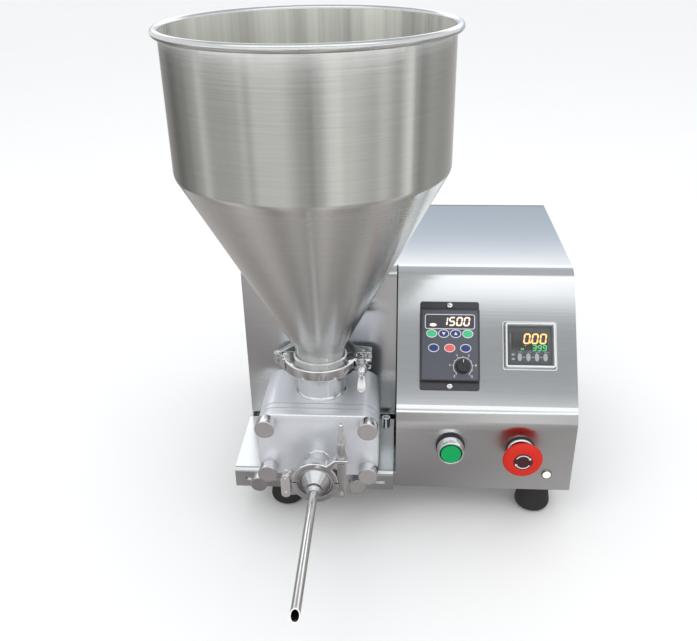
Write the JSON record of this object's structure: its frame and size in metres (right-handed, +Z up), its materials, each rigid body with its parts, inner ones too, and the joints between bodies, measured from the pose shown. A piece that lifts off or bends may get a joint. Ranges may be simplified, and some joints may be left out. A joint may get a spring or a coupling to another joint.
{
  "type": "cream filling machine",
  "caption": "Bench-top filling machine: a steel funnel hopper clamped on a gear pump with a long needle, beside a sloping control console.",
  "frame": {"origin": "on the table under the middle of the whole machine's outline", "axes": "+X to the right as the operator sees it, +Y to the back, +Z up"},
  "size_m": [0.3971, 0.5354, 0.5101],
  "materials": {
    "brushed_steel": "brushed",
    "polished_steel": "polished",
    "blasted_aluminium": "bead blasted",
    "ground_steel": "ground",
    "rubber": "matte",
    "black_plastic": "satin",
    "bronze": "turned",
    "motor_paint": "satin paint",
    "clear_plastic": "clear",
    "green_plastic": "gloss",
    "red_plastic": "gloss",
    "lamp_white": "gloss"
  },
  "bodies": {
    "machine": {"base_pan": "brushed_steel", "clamp_gaskets": "rubber", "console_cheek": "brushed_steel", "contact_blocks": "black_plastic", "estop_base": "polished_steel", "foot_screws": "polished_steel", "gearbox": "blasted_aluminium", "hopper": "brushed_steel", "hopper_clamp_front": "polished_steel", "hopper_clamp_pins": "polished_steel", "hopper_clamp_rear": "polished_steel", "inlet_tube": "brushed_steel", "left_side_panel": "brushed_steel", "main_cover": "brushed_steel", "motor_bracket": "ground_steel", "motor_housing": "motor_paint", "needle": "brushed_steel", "nozzle_cap": "brushed_steel", "outlet_clamp_lower": "polished_steel", "outlet_clamp_pins": "polished_steel", "outlet_clamp_upper": "polished_steel", "outlet_tube": "brushed_steel", "panel_screws": "polished_steel", "power_inlet": "black_plastic", "power_lamp": "lamp_white", "pump_body": "blasted_aluminium", "pump_cover": "blasted_aluminium", "pump_mount_plate": "blasted_aluminium", "pump_seals": "rubber", "pump_tray": "brushed_steel", "rear_panel": "brushed_steel", "right_side_panel": "brushed_steel", "rubber_feet": "rubber", "shaft_bushes": "bronze", "socket_bolts": "polished_steel", "speed_controller": "black_plastic", "start_bezel": "polished_steel", "timer": "black_plastic", "wear_plate": "blasted_aluminium"},
    "drive_train": {"drive_shaft": "ground_steel", "drive_gear": "ground_steel", "shaft_coupling": "blasted_aluminium", "motor_shaft": "ground_steel"},
    "idler": {"idler_shaft": "ground_steel", "idler_gear": "ground_steel"},
    "start_button": {"start_cap": "green_plastic"},
    "stop_plunger": {"estop_stem": "polished_steel"},
    "stop_mushroom": {"estop_head": "red_plastic"},
    "speed_dial": {"speed_knob": "black_plastic"},
    "timer_window": {"timer_cover": "clear_plastic"},
    "hopper_swing_bolt": {"hopper_clamp_bolt": "polished_steel"},
    "hopper_wing_nut": {"hopper_clamp_nut": "polished_steel"},
    "outlet_swing_bolt": {"outlet_clamp_bolt": "polished_steel"},
    "outlet_wing_nut": {"outlet_clamp_nut": "polished_steel"},
    "cover_screw_1": {"cover_thumb_screw_1": "polished_steel"},
    "cover_screw_2": {"cover_thumb_screw_2": "polished_steel"},
    "cover_screw_3": {"cover_thumb_screw_3": "polished_steel"},
    "cover_screw_4": {"cover_thumb_screw_4": "polished_steel"},
    "tray_screw_1": {"tray_thumb_screw_1": "polished_steel"},
    "tray_screw_2": {"tray_thumb_screw_2": "polished_steel"}
  },
  "joints": [
    {"name": "pump_drive", "type": "hinge", "parent": "machine", "child": "drive_train", "pos_m": [-0.04365, -0.0402, 0.1075], "axis": [0, 1, 0], "continuous": true},
    {"name": "pump_idler", "type": "hinge", "parent": "machine", "child": "idler", "pos_m": [-0.08865, -0.0402, 0.1075], "axis": [0, 1, 0], "continuous": true},
    {"name": "start_press", "type": "slide", "parent": "machine", "child": "start_button", "axis": [0, 1, 0], "range_m": [0, 0.004], "stiffness_N_per_m": 400},
    {"name": "stop_push", "type": "slide", "parent": "machine", "child": "stop_plunger", "axis": [0, 1, 0], "range_m": [0, 0.005]},
    {"name": "stop_twist", "type": "hinge", "parent": "stop_plunger", "child": "stop_mushroom", "pos_m": [0.14275, -0.0519, 0.0922], "axis": [0, 1, 0], "range_deg": [0, 45]},
    {"name": "speed_turn", "type": "hinge", "parent": "machine", "child": "speed_dial", "pos_m": [0.08095, -0.01298, 0.17523], "axis": [0, -0.7803, 0.6255], "range_deg": [-150, 150]},
    {"name": "timer_cover_pull", "type": "slide", "parent": "machine", "child": "timer_window", "axis": [0, -0.7803, 0.6255], "range_m": [0, 0.025]},
    {"name": "hopper_bolt_swing", "type": "hinge", "parent": "machine", "child": "hopper_swing_bolt", "pos_m": [-0.02215, 0, 0.18], "axis": [0, 0, 1], "range_deg": [0, 45]},
    {"name": "hopper_nut_turn", "type": "hinge", "parent": "hopper_swing_bolt", "child": "hopper_wing_nut", "pos_m": [-0.02215, -0.022, 0.18], "axis": [0, -1, 0], "continuous": true},
    {"name": "outlet_bolt_swing", "type": "hinge", "parent": "machine", "child": "outlet_swing_bolt", "pos_m": [-0.03965, -0.0919, 0.075], "axis": [0, 1, 0], "range_deg": [0, 60]},
    {"name": "outlet_nut_turn", "type": "hinge", "parent": "outlet_swing_bolt", "child": "outlet_wing_nut", "pos_m": [-0.03965, -0.0919, 0.1158], "axis": [0, 0, 1], "continuous": true},
    {"name": "cover_screw_1_turn", "type": "hinge", "parent": "machine", "child": "cover_screw_1", "pos_m": [-0.11765, -0.0622, 0.1353], "axis": [0, -1, 0], "continuous": true},
    {"name": "cover_screw_2_turn", "type": "hinge", "parent": "machine", "child": "cover_screw_2", "pos_m": [-0.01465, -0.0622, 0.1353], "axis": [0, -1, 0], "continuous": true},
    {"name": "cover_screw_3_turn", "type": "hinge", "parent": "machine", "child": "cover_screw_3", "pos_m": [-0.11765, -0.0622, 0.0797], "axis": [0, -1, 0], "continuous": true},
    {"name": "cover_screw_4_turn", "type": "hinge", "parent": "machine", "child": "cover_screw_4", "pos_m": [-0.01465, -0.0622, 0.0797], "axis": [0, -1, 0], "continuous": true},
    {"name": "tray_screw_1_turn", "type": "hinge", "parent": "machine", "child": "tray_screw_1", "pos_m": [-0.13165, -0.0465, 0.051], "axis": [0, -1, 0], "continuous": true},
    {"name": "tray_screw_2_turn", "type": "hinge", "parent": "machine", "child": "tray_screw_2", "pos_m": [-0.02635, -0.0465, 0.051], "axis": [0, -1, 0], "continuous": true}
  ],
  "couplings": [
    {"joint": "pump_idler", "follows": "pump_drive", "ratio": -1}
  ]
}
